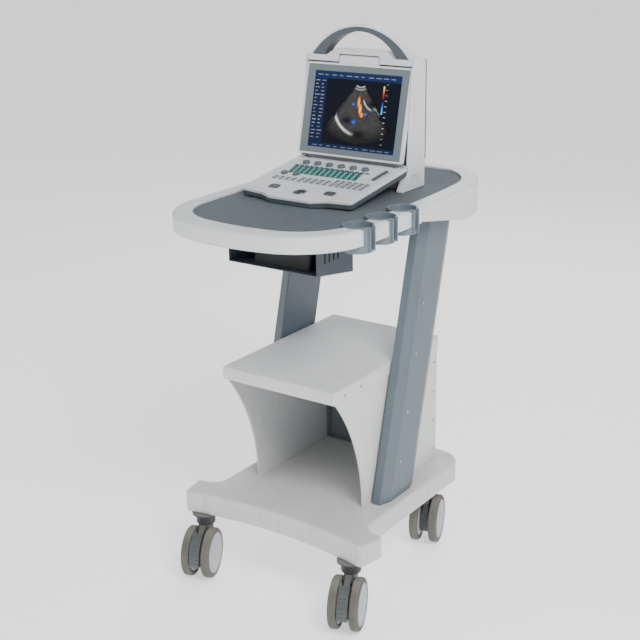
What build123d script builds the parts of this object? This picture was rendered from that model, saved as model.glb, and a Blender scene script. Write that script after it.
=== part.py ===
from build123d import *
from math import atan2, cos, radians, sin, sqrt
import os

# Ultrasound scanner: a suitcase-type portable scanner standing on a clinic trolley.
# Millimetres. +Z up, the user stands at -Y, X = 0 is the trolley's symmetry plane,
# and the origin is on the floor under the middle of the table.

# ---- driving dimensions: trolley -------------------------------------------------
BASE_BOTTOM, BASE_TOP = 155.1, 209.5
BASE_HALF = 220.0            # half width of the base beside the cabinet
TOE_HALF, TOE_FRONT = 261.5, -295.0
TOE_REAR = -221.0
BASE_REAR = 280.0

CAB_HALF, CAB_FRONT, CAB_REAR = 162.4, -248.0, 225.5
CAB_TOP, CAB_SKIRT, CAB_SHEET = 548.4, 31.2, 2.0
SIDE_PANEL = 4.5             # thickness of the cabinet's side panels
SIDE_OUT = CAB_HALF - CAB_SHEET - 0.4
ARC_FRONT_TOP, ARC_FRONT_FOOT = -240.0, -126.6

COLUMN_LEAN = 0.262          # run along Y for each unit of height
COLUMN_TOP = 899.0
COLUMN_WALL = 3.0

TABLE_TOP, TABLE_UNDER, RIM_BOTTOM = 944.5, 931.0, 907.0
APRON_BOTTOM, APRON_START, APRON_DEEP = 866.0, -18.0, 211.0
APRON_START_Z = 910.0
TABLE_LENGTH_HALF = 420.0
MAT_TOP, MAT_THICK = 940.0, 4.0
SKIRT_WALL, RIM_CHAMFER = 5.0, 4.0

CUP_X, CUP_YS = 219.0, (-232.0, -141.0, -50.0)
CUP_R, CUP_WALL, CUP_FLOOR, CUP_TOP = 33.5, 2.5, 888.0, 944.8
CUP_SLOT = 14.0

TRAY_HALF, TRAY_FRONT, TRAY_REAR = 124.0, -254.0, -110.0
TRAY_FRONT_Z, TRAY_REAR_Z, TRAY_SHEET = 818.5, 796.5, 2.0

# ---- driving dimensions: casters -------------------------------------------------
WHEEL_R, WHEEL_W, WHEEL_GAP = 62.5, 24.0, 13.5
TRAIL = 40.0                 # swivel axis to axle
AXLE_R, KINGPIN_R, RUN = 6.0, 8.0, 0.05
CASTERS = {
    "fl": (-219.0, -268.0, 21.0, True),
    "fr": (219.0, -268.0, 21.0, True),
    "rl": (-160.0, 201.0, 18.0, False),
    "rr": (160.0, 201.0, 18.0, False),
}
PEDAL_PIVOT_R, PEDAL_PIVOT_DEG = 44.0, 110.0

# ---- driving dimensions: scanner -------------------------------------------------
X0 = -25.0                   # the scanner stands left of the trolley's middle
BODY_HALF, BODY_BOTTOM, BODY_TOP = 157.5, 941.0, 1246.0
BODY_RIDGE, BODY_REAR, COVER_REAR = 144.5, 194.0, 205.0
FOOT_IN = 143.5              # inner face of the feet, from the scanner's middle
NICHE_HALF, NICHE_BACK, NICHE_TOP, NICHE_FLOOR = 151.5, 171.0, 1231.5, 997.0
CAP_HALF, CAP_RAISED, CAP_BEVEL, CAP_TOP, CAP_REAR = 151.2, 70.0, 96.0, 1261.5, 184.0

SCREEN_TILT = 13.1
SCREEN_HALF, SCREEN_H, SCREEN_T = 150.9, 226.0, 20.0
SCREEN_FRONT_Y, SCREEN_FRONT_Z = 94.1, 1008.0
SHAFT_UP, SHAFT_IN, SHAFT_R = 216.0, 10.0, 3.0
LCD_HALF, LCD_LOW, LCD_HIGH = 124.5, 20.0, 205.0

KEY_SLOPE = 8.2              # slope of the open keyboard
HINGE_Y, HINGE_Z = 99.0, 988.0
KB_TOP, KB_BOTTOM, KB_SKIN = 7.5, -12.5, 2.5
KNUCKLE_R = 13.5
KB_HALF = 157.0
EAR_X, EAR_T = 124.0, 8.0

HANDLE_FRONT, HANDLE_REAR = 148.0, 181.0
HANDLE_FOOT_HALF, HANDLE_RISE = 143.0, 75.0
GRIP_FOOT_HALF, GRIP_RISE = 103.0, 59.5


def write(built, node):
    """Label one finished piece and write it as its own STEP file."""
    built.part.label = node
    export_step(built.part, f"parts/{node}.step")


def side_plane(x):
    """Sketch plane across X: its local axes are Y and Z."""
    return Plane(origin=(x, 0, 0), x_dir=(0, 1, 0), z_dir=(1, 0, 0))


def front_plane(y):
    """Sketch plane across Y: local axes are X and Z, extruding towards +Y takes a minus."""
    return Plane(origin=(0, y, 0), x_dir=(1, 0, 0), z_dir=(0, -1, 0))


def box(x0, x1, y0, y1, z0, z1, mode=Mode.ADD):
    """A block between two corners, in the open part."""
    with Locations(((x0 + x1) / 2, (y0 + y1) / 2, (z0 + z1) / 2)):
        Box(x1 - x0, y1 - y0, z1 - z0, mode=mode)


def arc_radius(half, rise):
    """Radius of an arc from its half chord and its rise."""
    return (half ** 2 + rise ** 2) / (2 * rise)


os.makedirs("parts", exist_ok=True)

# ==== base ========================================================================
with BuildPart() as base_slab:
    with BuildSketch(Plane.XY.offset(BASE_BOTTOM)):
        with BuildLine():
            TangentArc((0, TOE_FRONT + 29.6), (TOE_HALF, TOE_FRONT), tangent=(1, 0))
            Line((TOE_HALF, TOE_FRONT), (277, TOE_REAR))
            Line((277, TOE_REAR), (252, TOE_REAR + 4))
            ThreePointArc((252, TOE_REAR + 4), (231, TOE_REAR + 13), (BASE_HALF, TOE_REAR + 35))
            Line((BASE_HALF, TOE_REAR + 35), (BASE_HALF, 195))
            ThreePointArc((BASE_HALF, 195), (206, 248), (150, 273))
            Line((150, 273), (0, BASE_REAR))
            mirror(about=Plane.YZ)
        make_face()
    extrude(amount=BASE_TOP - BASE_BOTTOM)
    corners = base_slab.edges().filter_by(Axis.Z).filter_by_position(Axis.Y, -300, -215)
    fillet([edge for edge in corners if abs(edge.center().X) > 258], radius=11)
    fillet(base_slab.faces().sort_by(Axis.Z)[-1].edges(), radius=7)
    fillet(base_slab.faces().sort_by(Axis.Z)[0].edges(), radius=4)
write(base_slab, "base_slab")

# ==== columns =====================================================================
COLUMN_SECTION = [(165, -97), (187, -96), (199, -64), (199, 28), (189, 56), (165, 56)]


def column_section(z, inset):
    """One horizontal section of the right-hand column, sheared along its lean."""
    run = (z - BASE_TOP) * COLUMN_LEAN
    with BuildSketch(Plane.XY.offset(z)) as section:
        Polygon(*[(x, y + run) for x, y in COLUMN_SECTION], align=None)
        if inset:
            offset(amount=-inset, kind=Kind.INTERSECTION, mode=Mode.REPLACE)
        else:
            fillet(section.vertices(), radius=2.5)
    return section.sketch


def column(side):
    """A leaning chamfered tube; side is 1 on the right and -1 on the left."""
    outer = [column_section(z, 0) for z in (BASE_TOP, COLUMN_TOP)]
    inner = [column_section(z, COLUMN_WALL) for z in (BASE_TOP + 6, COLUMN_TOP + 1)]
    with BuildPart() as tube:
        loft(sections=outer, ruled=True)
        loft(sections=inner, ruled=True, mode=Mode.SUBTRACT)
        if side < 0:
            mirror(about=Plane.YZ, mode=Mode.REPLACE)
    return tube


write(column(-1), "column_left")
write(column(1), "column_right")

# ==== cabinet =====================================================================
with BuildPart() as cabinet_top:
    box(-CAB_HALF, CAB_HALF, CAB_FRONT, CAB_REAR, CAB_TOP - CAB_SKIRT, CAB_TOP)
    fillet(cabinet_top.edges().filter_by(Axis.Z), radius=4)
    fillet(cabinet_top.faces().sort_by(Axis.Z)[-1].edges(), radius=4)
    box(-CAB_HALF + CAB_SHEET, CAB_HALF - CAB_SHEET, CAB_FRONT + CAB_SHEET, CAB_REAR - CAB_SHEET,
        CAB_TOP - CAB_SKIRT - 1, CAB_TOP - CAB_SHEET, mode=Mode.SUBTRACT)
write(cabinet_top, "cabinet_top")

ARC_DROP = CAB_TOP - CAB_SKIRT - BASE_TOP
PANEL_TOP = CAB_TOP - CAB_SHEET - 0.2


def side_panel(side):
    """A side board of the cabinet with its concave front edge."""
    near, far = sorted((side * SIDE_OUT, side * (SIDE_OUT - SIDE_PANEL)))
    with BuildPart() as panel:
        with BuildSketch(side_plane(near)):
            with BuildLine():
                TangentArc((ARC_FRONT_FOOT, BASE_TOP), (ARC_FRONT_TOP, BASE_TOP + ARC_DROP), tangent=(0, 1))
                Line((ARC_FRONT_TOP, BASE_TOP + ARC_DROP), (ARC_FRONT_TOP, PANEL_TOP))
                Line((ARC_FRONT_TOP, PANEL_TOP), (CAB_REAR - 3, PANEL_TOP))
                Line((CAB_REAR - 3, PANEL_TOP), (CAB_REAR - 3, BASE_TOP))
                Line((CAB_REAR - 3, BASE_TOP), (ARC_FRONT_FOOT, BASE_TOP))
            make_face()
        extrude(amount=far - near)
        with BuildSketch(side_plane(near)):
            with Locations((-78, 300), (-20, 262), (40, 330), (-60, 345)):
                Circle(2.6)
        extrude(amount=far - near, mode=Mode.SUBTRACT)
    return panel


write(side_panel(-1), "cabinet_side_left")
write(side_panel(1), "cabinet_side_right")

BACK_Y, BACK_HALF = 198.0, SIDE_OUT - SIDE_PANEL - 0.2
with BuildPart() as cabinet_back:
    box(-BACK_HALF, BACK_HALF, BACK_Y, BACK_Y + 2, BASE_TOP, PANEL_TOP)
    for edge_x in (-BACK_HALF, BACK_HALF - 2):
        box(edge_x, edge_x + 2, BACK_Y - 22, BACK_Y + 2, BASE_TOP, PANEL_TOP)
    box(-BACK_HALF, BACK_HALF, BACK_Y - 30, BACK_Y + 2, 330, 332)
    box(-BACK_HALF, BACK_HALF, BACK_Y - 22, BACK_Y + 2, BASE_TOP, BASE_TOP + 2)
    with BuildSketch(front_plane(BACK_Y - 1)):
        with Locations((0, 440)):
            with GridLocations(0, 14, 1, 7):
                SlotOverall(120, 5)
    extrude(amount=-4, mode=Mode.SUBTRACT)
write(cabinet_back, "cabinet_back")

# ==== table =======================================================================
TABLE_EDGE = [(0, -TABLE_LENGTH_HALF), (112, -407), (247, -245), (235, 245), (118, 414), (0, TABLE_LENGTH_HALF)]
MAT_EDGE = [(0, -371), (92, -363), (208, -232), (198, 230), (96, 378), (0, 381)]


def arc_headings(points):
    """Directions of travel at each point of a chain of tangent arcs that starts along +X."""
    headings = [0.0]
    for start, end in zip(points[:-1], points[1:]):
        headings.append(2 * atan2(end[1] - start[1], end[0] - start[0]) - headings[-1])
    return headings


def d_outline(edge_points, z, inset):
    """A closed outline of tangent arcs from its right half, moved inwards by the inset, at height z."""
    chain, rear = edge_points[:-1], edge_points[-1]
    headings = arc_headings(chain)
    rear_heading = radians(180) + arc_headings([rear, chain[-1]])[1]
    half_kink = (rear_heading - headings[-1]) / 2
    normals = [(-sin(h) * inset, cos(h) * inset) for h in headings[:-1]]
    mitre = inset / cos(half_kink)
    normals.append((-sin(headings[-1] + half_kink) * mitre, cos(headings[-1] + half_kink) * mitre))
    moved = [(x + dx, y + dy) for (x, y), (dx, dy) in zip(chain, normals)]
    moved_rear = (rear[0], rear[1] - inset)
    with BuildSketch(Plane.XY.offset(z)) as outline:
        with BuildLine():
            for start, end, heading in zip(moved[:-1], moved[1:], arc_headings(moved)):
                TangentArc(start, end, tangent=(cos(heading), sin(heading)))
            TangentArc(moved_rear, moved[-1], tangent=(1, 0))
            mirror(about=Plane.YZ)
        make_face()
        fillet(outline.vertices().filter_by_position(Axis.Y, moved[-1][1] - 1, moved[-1][1] + 1),
               radius=40 - inset)
    return outline.sketch


def cup_cuts(clearance):
    """Round cut-outs for the probe cups, through the open part."""
    with Locations(*[(CUP_X, y, TABLE_TOP) for y in CUP_YS]):
        Cylinder(CUP_R + clearance, 200, mode=Mode.SUBTRACT)


with BuildPart() as table_rim:
    extrude(d_outline(TABLE_EDGE, APRON_BOTTOM, 0), amount=TABLE_TOP - APRON_BOTTOM)
    with BuildSketch(side_plane(-300)):
        Polygon((-430, 850), (-430, RIM_BOTTOM), (APRON_START, RIM_BOTTOM), (APRON_START, APRON_START_Z),
                (APRON_DEEP, APRON_BOTTOM), (APRON_DEEP, 850), align=None)
    extrude(amount=600, mode=Mode.SUBTRACT)
    chamfer(table_rim.faces().sort_by(Axis.Z)[-1].edges(), length=RIM_CHAMFER)
    extrude(d_outline(TABLE_EDGE, APRON_BOTTOM - 2, SKIRT_WALL), amount=TABLE_UNDER - APRON_BOTTOM + 2,
            mode=Mode.SUBTRACT)
    extrude(d_outline(MAT_EDGE, MAT_TOP - MAT_THICK, 0), amount=20, mode=Mode.SUBTRACT)
    cup_cuts(0.2)
write(table_rim, "table_rim")

with BuildPart() as table_mat:
    extrude(d_outline(MAT_EDGE, MAT_TOP - MAT_THICK, 0.3), amount=MAT_THICK)
    cup_cuts(0.2)
write(table_mat, "table_mat")

RAIL_IN, RAIL_OUT, RAIL_BOTTOM = 158.0, 192.0, 900.0
with BuildPart() as table_subframe:
    for side in (-1, 1):
        low, high = sorted((side * RAIL_IN, side * RAIL_OUT))
        box(low, high, 20, 300, RAIL_BOTTOM, TABLE_UNDER - 0.2)
        box(low + 3, high - 3, 17, 303, RAIL_BOTTOM + 3, TABLE_UNDER - 3.2, mode=Mode.SUBTRACT)
    for rail_y in (70, 250):
        box(-RAIL_IN, RAIL_IN, rail_y - 15, rail_y + 15, RAIL_BOTTOM + 4, TABLE_UNDER - 0.2)
        box(-RAIL_IN - 1, RAIL_IN + 1, rail_y - 12, rail_y + 12, RAIL_BOTTOM + 7, TABLE_UNDER - 3.2,
            mode=Mode.SUBTRACT)
write(table_subframe, "table_subframe")

# ==== probe cups ==================================================================
def probe_cup(y):
    """An open cup with a lip on the table and an outward slot for the probe's cable."""
    with BuildPart() as cup:
        with BuildSketch(Plane.XY.offset(CUP_FLOOR)):
            with Locations((CUP_X, y)):
                Circle(CUP_R)
        extrude(amount=CUP_TOP - CUP_FLOOR)
        with BuildSketch(Plane.XY.offset(CUP_TOP)):
            with Locations((CUP_X, y)):
                Circle(CUP_R + 1.6)
        extrude(amount=1.8)
        fillet(cup.faces().sort_by(Axis.Z)[0].edges(), radius=3)
        for lip in (-1, 1):
            lip_y = y + lip * (CUP_SLOT / 2 + 1.5)
            box(CUP_X + CUP_R - 4, CUP_X + CUP_R + 4.5, lip_y - 1.5, lip_y + 1.5, CUP_FLOOR + 4, CUP_TOP + 1.8)
        with BuildSketch(Plane.XY.offset(CUP_FLOOR + CUP_WALL)):
            with Locations((CUP_X, y)):
                Circle(CUP_R - CUP_WALL)
        extrude(amount=80, mode=Mode.SUBTRACT)
        box(CUP_X + 20, CUP_X + CUP_R + 6, y - CUP_SLOT / 2, y + CUP_SLOT / 2, CUP_FLOOR + 8, CUP_TOP + 5,
            mode=Mode.SUBTRACT)
    return cup


for cup_name, cup_y in zip(("front", "middle", "rear"), CUP_YS):
    write(probe_cup(cup_y), f"probe_cup_{cup_name}")

# ==== power tray ==================================================================
TRAY_TOP = TABLE_UNDER - 0.3
TRAY_SLOPE = (TRAY_REAR_Z - TRAY_FRONT_Z) / (TRAY_REAR - TRAY_FRONT)
TRAY_PROFILE = [(TRAY_FRONT, TRAY_FRONT_Z), (TRAY_REAR, TRAY_REAR_Z), (TRAY_REAR, TRAY_TOP),
                (TRAY_FRONT, TRAY_TOP)]
with BuildPart() as power_tray:
    with BuildSketch(side_plane(-TRAY_HALF)):
        Polygon(*TRAY_PROFILE, align=None)
    extrude(amount=2 * TRAY_HALF)
    with BuildSketch(side_plane(-TRAY_HALF + TRAY_SHEET)):
        Polygon((TRAY_FRONT - 5, TRAY_FRONT_Z + TRAY_SHEET - 5 * TRAY_SLOPE),
                (TRAY_REAR - TRAY_SHEET, TRAY_REAR_Z + TRAY_SHEET + 0.3),
                (TRAY_REAR - TRAY_SHEET, TRAY_TOP - TRAY_SHEET), (TRAY_FRONT - 5, TRAY_TOP - TRAY_SHEET),
                align=None)
    extrude(amount=2 * (TRAY_HALF - TRAY_SHEET), mode=Mode.SUBTRACT)
    with BuildSketch(side_plane(-TRAY_HALF - 1)):
        with Locations((-196, 858)):
            with GridLocations(17, 0, 4, 1):
                SlotOverall(34, 6, rotation=90)
    extrude(amount=2 * TRAY_HALF + 2, mode=Mode.SUBTRACT)
    box(-TRAY_HALF + 24, TRAY_HALF - 24, TRAY_FRONT + 20, TRAY_REAR - 24, TRAY_TOP - 4, TRAY_TOP + 1,
        mode=Mode.SUBTRACT)
write(power_tray, "power_tray")

TRAY_DEG = 8.69
adapter_plane = Plane(origin=(0, (TRAY_FRONT + TRAY_REAR) / 2, (TRAY_FRONT_Z + TRAY_REAR_Z) / 2 + 2.2),
                      x_dir=(1, 0, 0), z_dir=(0, sin(radians(TRAY_DEG)), cos(radians(TRAY_DEG))))
with BuildPart() as power_adapter:
    with BuildSketch(adapter_plane):
        RectangleRounded(160, 78, 8)
    extrude(amount=38)
    fillet(power_adapter.faces().sort_by(Axis.Z)[-1].edges(), radius=4)
write(power_adapter, "power_adapter")

# ==== casters =====================================================================
PLATE_T = 4.0
HOUSING_R, HOUSING_LOW, HOUSING_TOP = 24.0, 126.5, 150.3
with BuildPart() as caster_stems:
    for stem_x, stem_y, turn, braked in CASTERS.values():
        with BuildSketch(Plane.XY.offset(BASE_BOTTOM - PLATE_T)):
            with Locations((stem_x, stem_y)):
                Circle(34)
        extrude(amount=PLATE_T)
        with BuildSketch(Plane.XY.offset(HOUSING_LOW + 2)):
            with Locations((stem_x, stem_y)):
                Circle(KINGPIN_R)
        extrude(amount=BASE_BOTTOM - PLATE_T - HOUSING_LOW - 2)
write(caster_stems, "caster_stems")


def caster_frames(stem_x, stem_y, turn):
    """The caster's own frame, with its local X along the axle, and the plane across its axle."""
    along = Vector(cos(radians(turn)), sin(radians(turn)), 0)
    frame = Plane(origin=(stem_x, stem_y, 0), x_dir=along, z_dir=(0, 0, 1))
    across = Plane(origin=(stem_x, stem_y, 0), x_dir=frame.y_dir, z_dir=along)
    return frame, across


def pedal_pivot():
    """Pivot of the brake pedal in the plane across the axle."""
    angle = radians(PEDAL_PIVOT_DEG)
    return (-TRAIL + PEDAL_PIVOT_R * cos(angle), WHEEL_R + PEDAL_PIVOT_R * sin(angle))


def yoke(stem_x, stem_y, turn, braked):
    """Swivel housing, neck, web and axle of one caster."""
    frame, across = caster_frames(stem_x, stem_y, turn)
    half = WHEEL_GAP - 1.0
    with BuildPart() as body:
        with BuildSketch(frame.offset(HOUSING_LOW)):
            Circle(HOUSING_R)
        extrude(amount=HOUSING_TOP - HOUSING_LOW)
        fillet(body.edges(), radius=2)
        with BuildSketch(across.offset(-half)):
            Polygon((-36, 112), (-22, 128), (21, 128), (20, 106), (2, 76), (-36, 76), align=None)
            with Locations((-TRAIL + 5, WHEEL_R - 5)):
                Circle(36)
        extrude(amount=2 * half)
        with BuildSketch(across.offset(-7.5)):
            Polygon((-62, 96), (-58, 110), (-22, 127), (0, 127), (0, 80), (-62, 80), align=None)
        extrude(amount=15)
        with BuildSketch(across.offset(-2 * WHEEL_W)):
            with Locations((-TRAIL, WHEEL_R)):
                Circle(AXLE_R)
        extrude(amount=4 * WHEEL_W)
        with BuildSketch(frame.offset(HOUSING_LOW + 1)):
            Circle(KINGPIN_R + RUN)
        extrude(amount=40, mode=Mode.SUBTRACT)
        for end in (-1, 1):
            start = across.offset(end * (WHEEL_GAP + WHEEL_W - 3.0))
            with BuildSketch(start):
                with Locations((-TRAIL, WHEEL_R)):
                    Circle(40)
            extrude(amount=end * 60, mode=Mode.SUBTRACT)
        if braked:
            with BuildSketch(across.offset(-20)):
                with Locations(pedal_pivot()):
                    Circle(2.5 + RUN)
            extrude(amount=40, mode=Mode.SUBTRACT)
    return body


def wheel(stem_x, stem_y, turn, end):
    """One wheel of a pair: a dished core with its tread moulded round it. end is -1 left, 1 right."""
    frame, across = caster_frames(stem_x, stem_y, turn)
    centre = frame.from_local_coords((end * WHEEL_GAP, -TRAIL, WHEEL_R))
    spin = Plane(origin=centre, x_dir=(0, 0, 1), z_dir=frame.x_dir * end)
    section = Plane(origin=centre, x_dir=(0, 0, 1), z_dir=spin.y_dir * -1)
    core_r, tread_r, bore = 50.0, 50.02, AXLE_R + RUN
    dome_edge, dome_rise = WHEEL_W - 1.5, 2.3
    dome_r = arc_radius(core_r, dome_rise)
    dome_middle = dome_edge + dome_rise - dome_r + sqrt(dome_r ** 2 - (core_r / 2) ** 2)
    with BuildPart() as disc:
        with BuildSketch(section) as rim_section:
            with BuildLine():
                Polyline((bore, 0.5), (core_r - 4, 0.5), (core_r, 3), (core_r, dome_edge))
                ThreePointArc((core_r, dome_edge), (core_r / 2, dome_middle), (0, dome_edge + dome_rise))
                Polyline((0, dome_edge + dome_rise), (0, WHEEL_W - 2.0), (bore, WHEEL_W - 2.0), (bore, 0.5))
            make_face()
        revolve(axis=Axis(centre, spin.z_dir), revolution_arc=360)
        with BuildSketch(section) as tread_section:
            with BuildLine():
                Polyline((tread_r, 3), (tread_r, WHEEL_W - 1.5), (WHEEL_R - 8, WHEEL_W))
                ThreePointArc((WHEEL_R - 8, WHEEL_W), (WHEEL_R - 2.2, WHEEL_W - 2.6), (WHEEL_R, WHEEL_W - 8))
                Line((WHEEL_R, WHEEL_W - 8), (WHEEL_R, 8))
                ThreePointArc((WHEEL_R, 8), (WHEEL_R - 2.2, 2.6), (WHEEL_R - 8, 0))
                Line((WHEEL_R - 8, 0), (tread_r, 3))
            make_face()
        revolve(axis=Axis(centre, spin.z_dir), revolution_arc=360)
    return disc


def pedal(stem_x, stem_y, turn):
    """Ribbed brake pedal that wraps round the front of the wheels, with its pivot pin."""
    frame, across = caster_frames(stem_x, stem_y, turn)
    half = WHEEL_GAP - 1.0
    outer, inner = 64.5, 54.0
    start, stop = 112.0, 192.0
    middle = (start + stop) / 2
    at = [(-TRAIL + r * cos(radians(a)), WHEEL_R + r * sin(radians(a)))
          for r, a in ((outer, start), (outer, middle), (outer, stop), (inner, stop), (inner, middle),
                       (inner, start))]
    pivot = pedal_pivot()
    with BuildPart() as plate:
        with BuildSketch(across.offset(-half)):
            with BuildLine():
                ThreePointArc(at[0], at[1], at[2])
                Line(at[2], at[3])
                ThreePointArc(at[3], at[4], at[5])
                Line(at[5], at[0])
            make_face()
        extrude(amount=2 * half)
        fillet(plate.edges().filter_by(lambda edge: abs(edge.length - 2 * half) < 0.1), radius=1.5)
        for rib in range(7):
            angle = radians(start + 10 + rib * 10)
            with BuildSketch(across.offset(-half)):
                with Locations((-TRAIL + outer * cos(angle), WHEEL_R + outer * sin(angle))):
                    Circle(1.2)
            extrude(amount=2 * half)
        for cheek in (-half, 8.3):
            with BuildSketch(across.offset(cheek)):
                with BuildLine():
                    Polyline((pivot[0] - 5, pivot[1] - 3), (pivot[0] + 5, pivot[1] - 3), at[5],
                             (at[5][0] - 16, at[5][1] - 10), (pivot[0] - 5, pivot[1] - 3))
                make_face()
                with Locations(pivot):
                    Circle(5)
            extrude(amount=half - 8.3)
        with BuildSketch(across.offset(-half)):
            with Locations(pivot):
                Circle(2.5)
        extrude(amount=2 * half)
    return plate


for caster_name, (stem_x, stem_y, turn, braked) in CASTERS.items():
    write(yoke(stem_x, stem_y, turn, braked), f"caster_{caster_name}_yoke")
    write(wheel(stem_x, stem_y, turn, -1), f"caster_{caster_name}_wheel_left")
    write(wheel(stem_x, stem_y, turn, 1), f"caster_{caster_name}_wheel_right")
    if braked:
        write(pedal(stem_x, stem_y, turn), f"caster_{caster_name}_pedal")

# ==== scanner body ================================================================
def scanner_box(x_half, y0, y1, z0, z1, mode=Mode.ADD):
    """A block centred on the scanner's own middle plane."""
    box(X0 - x_half, X0 + x_half, y0, y1, z0, z1, mode=mode)


def across_scanner(x):
    """Sketch plane across X, measured from the scanner's middle plane."""
    return side_plane(X0 + x)


slope = radians(SCREEN_TILT)
screen_plane = Plane(origin=(X0, SCREEN_FRONT_Y, SCREEN_FRONT_Z), x_dir=(1, 0, 0),
                     z_dir=(0, -cos(slope), sin(slope)))
SHAFT_Y = SCREEN_FRONT_Y + SHAFT_UP * sin(slope) + SHAFT_IN * cos(slope)
SHAFT_Z = SCREEN_FRONT_Z + SHAFT_UP * cos(slope) - SHAFT_IN * sin(slope)
FOOT_SIDE = [(BODY_REAR, BODY_BOTTOM), (BODY_REAR, 1003), (117, 1003), (117, 987), (87, 945),
             (88, BODY_BOTTOM)]

with BuildPart() as scanner_body:
    scanner_box(BODY_HALF, BODY_RIDGE, BODY_REAR, BODY_BOTTOM, BODY_TOP)
    upper_edges = scanner_body.edges().filter_by_position(Axis.Z, BODY_TOP - 1, BODY_TOP + 1)
    fillet(upper_edges.filter_by(Axis.Y), radius=6)
    fillet(scanner_body.edges().filter_by(Axis.Z).group_by(Axis.Y)[0], radius=2)
    scanner_box(FOOT_IN + 1, 124, BODY_REAR, BODY_BOTTOM, 1000)
    for side in (-1, 1):
        lower = [(150, 148), (150, 112), (156, 138), (156, 148)]
        upper = [(150, 148), (152, 141), (156, 144), (156, 148)]
        with BuildSketch(Plane.XY.offset(1000)):
            Polygon(*[(X0 + side * x, y) for x, y in lower], align=None)
        with BuildSketch(Plane.XY.offset(1238)):
            Polygon(*[(X0 + side * x, y) for x, y in upper], align=None)
        loft(ruled=True)
        with BuildSketch(across_scanner(min(side * FOOT_IN, side * BODY_HALF))):
            Polygon(*FOOT_SIDE, align=None)
        extrude(amount=BODY_HALF - FOOT_IN)
        box(*sorted((X0 + side * (EAR_X - EAR_T / 2), X0 + side * (EAR_X + EAR_T / 2))),
            HINGE_Y, 128, HINGE_Z - 7, HINGE_Z + 7)
        with Locations(Location((X0 + side * EAR_X, HINGE_Y, HINGE_Z), (0, 90, 0))):
            Cylinder(8, EAR_T)
            Cylinder(3 + RUN, EAR_T + 2, mode=Mode.SUBTRACT)
        box(*sorted((X0 + side * (BODY_HALF - 2.2), X0 + side * (BODY_HALF + 1))), 132, 166, 953, 974,
            mode=Mode.SUBTRACT)
    scanner_box(NICHE_HALF, BODY_RIDGE - 60, NICHE_BACK, NICHE_FLOOR + 2.6, BODY_TOP + 5, mode=Mode.SUBTRACT)
    scanner_box(NICHE_HALF, BODY_RIDGE - 1, CAP_REAR + 0.2, NICHE_TOP, BODY_TOP + 5, mode=Mode.SUBTRACT)
    scanner_box(149, NICHE_BACK + 3, BODY_REAR + 1, 1004, 1228, mode=Mode.SUBTRACT)
    scanner_box(108, 134, BODY_REAR + 1, 948, 996, mode=Mode.SUBTRACT)
    scanner_box(60, 100, BODY_REAR + 30, BODY_BOTTOM - 1, BODY_BOTTOM + 3, mode=Mode.SUBTRACT)
    with Locations(Location((X0, SHAFT_Y, SHAFT_Z), (0, 90, 0))):
        Cylinder(SHAFT_R + RUN, 2 * 155.5, mode=Mode.SUBTRACT)
write(scanner_body, "scanner_body")

PORT_ZS = (1040, 1075)
with BuildPart() as scanner_rear_cover:
    scanner_box(BODY_HALF - 2, BODY_REAR + 0.1, COVER_REAR, 1002, BODY_TOP - 0.5)
    fillet(scanner_rear_cover.edges().filter_by(Axis.Y), radius=7)
    fillet(scanner_rear_cover.faces().sort_by(Axis.Y)[-1].edges(), radius=4)
    scanner_box(BODY_HALF - 9, BODY_REAR, COVER_REAR - 2.5, 1009, BODY_TOP - 8, mode=Mode.SUBTRACT)
    with BuildSketch(front_plane(COVER_REAR - 4)):
        with Locations((X0 + 80, 1150)):
            with GridLocations(0, 9, 1, 9):
                SlotOverall(90, 4)
        with Locations(*[(X0 - 70, z) for z in PORT_ZS]):
            RectangleRounded(66, 24, 4)
        with Locations((X0 + 110, 1030)):
            Circle(6.2)
    extrude(amount=-8, mode=Mode.SUBTRACT)
write(scanner_rear_cover, "scanner_rear_cover")

with BuildPart() as probe_ports:
    for port_z in PORT_ZS:
        with BuildSketch(front_plane(190)):
            with Locations((X0 - 70, port_z)):
                RectangleRounded(65.4, 23.4, 3.7)
        extrude(amount=-(COVER_REAR - 190 + 3))
        with BuildSketch(front_plane(199)):
            with Locations((X0 - 70, port_z)):
                RectangleRounded(54, 13, 2)
        extrude(amount=-12, mode=Mode.SUBTRACT)
write(probe_ports, "probe_ports")

with BuildPart() as power_inlet:
    with BuildSketch(front_plane(190)):
        with Locations((X0 + 110, 1030)):
            Circle(6)
            Circle(3.4, mode=Mode.SUBTRACT)
    extrude(amount=-(COVER_REAR - 190 + 0.4))
    with BuildSketch(front_plane(190)):
        with Locations((X0 + 110, 1030)):
            Circle(6)
    extrude(amount=-3)
    with BuildSketch(front_plane(190)):
        with Locations((X0 + 110, 1030)):
            Circle(1.1)
    extrude(amount=-11)
write(power_inlet, "power_inlet")

with BuildPart() as battery_pack:
    scanner_box(107, 136, BODY_REAR, 948.6, 995.4)
    fillet(battery_pack.edges().filter_by(Axis.Y), radius=4)
    for grip_x in (-60, 60):
        box(X0 + grip_x - 18, X0 + grip_x + 18, BODY_REAR - 3, BODY_REAR + 1, 966, 978, mode=Mode.SUBTRACT)
write(battery_pack, "battery_pack")

with BuildPart() as main_board:
    scanner_box(140, 177, 178.6, 1012, 1224)
    for chip_x, chip_z, chip_size in ((-60, 1150, 34), (20, 1160, 26), (85, 1110, 22), (-10, 1200, 18)):
        box(X0 + chip_x - chip_size / 2, X0 + chip_x + chip_size / 2, 178.6, 181,
            chip_z - chip_size / 2, chip_z + chip_size / 2)
write(main_board, "main_board")

with BuildPart() as scanner_feet:
    with BuildSketch(Plane.XY.offset(MAT_TOP)):
        with Locations(*[(X0 + x, y) for x in (-150.5, 150.5) for y in (98, 182)]):
            Circle(5.5)
    extrude(amount=BODY_BOTTOM - MAT_TOP)
write(scanner_feet, "scanner_feet")

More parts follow.
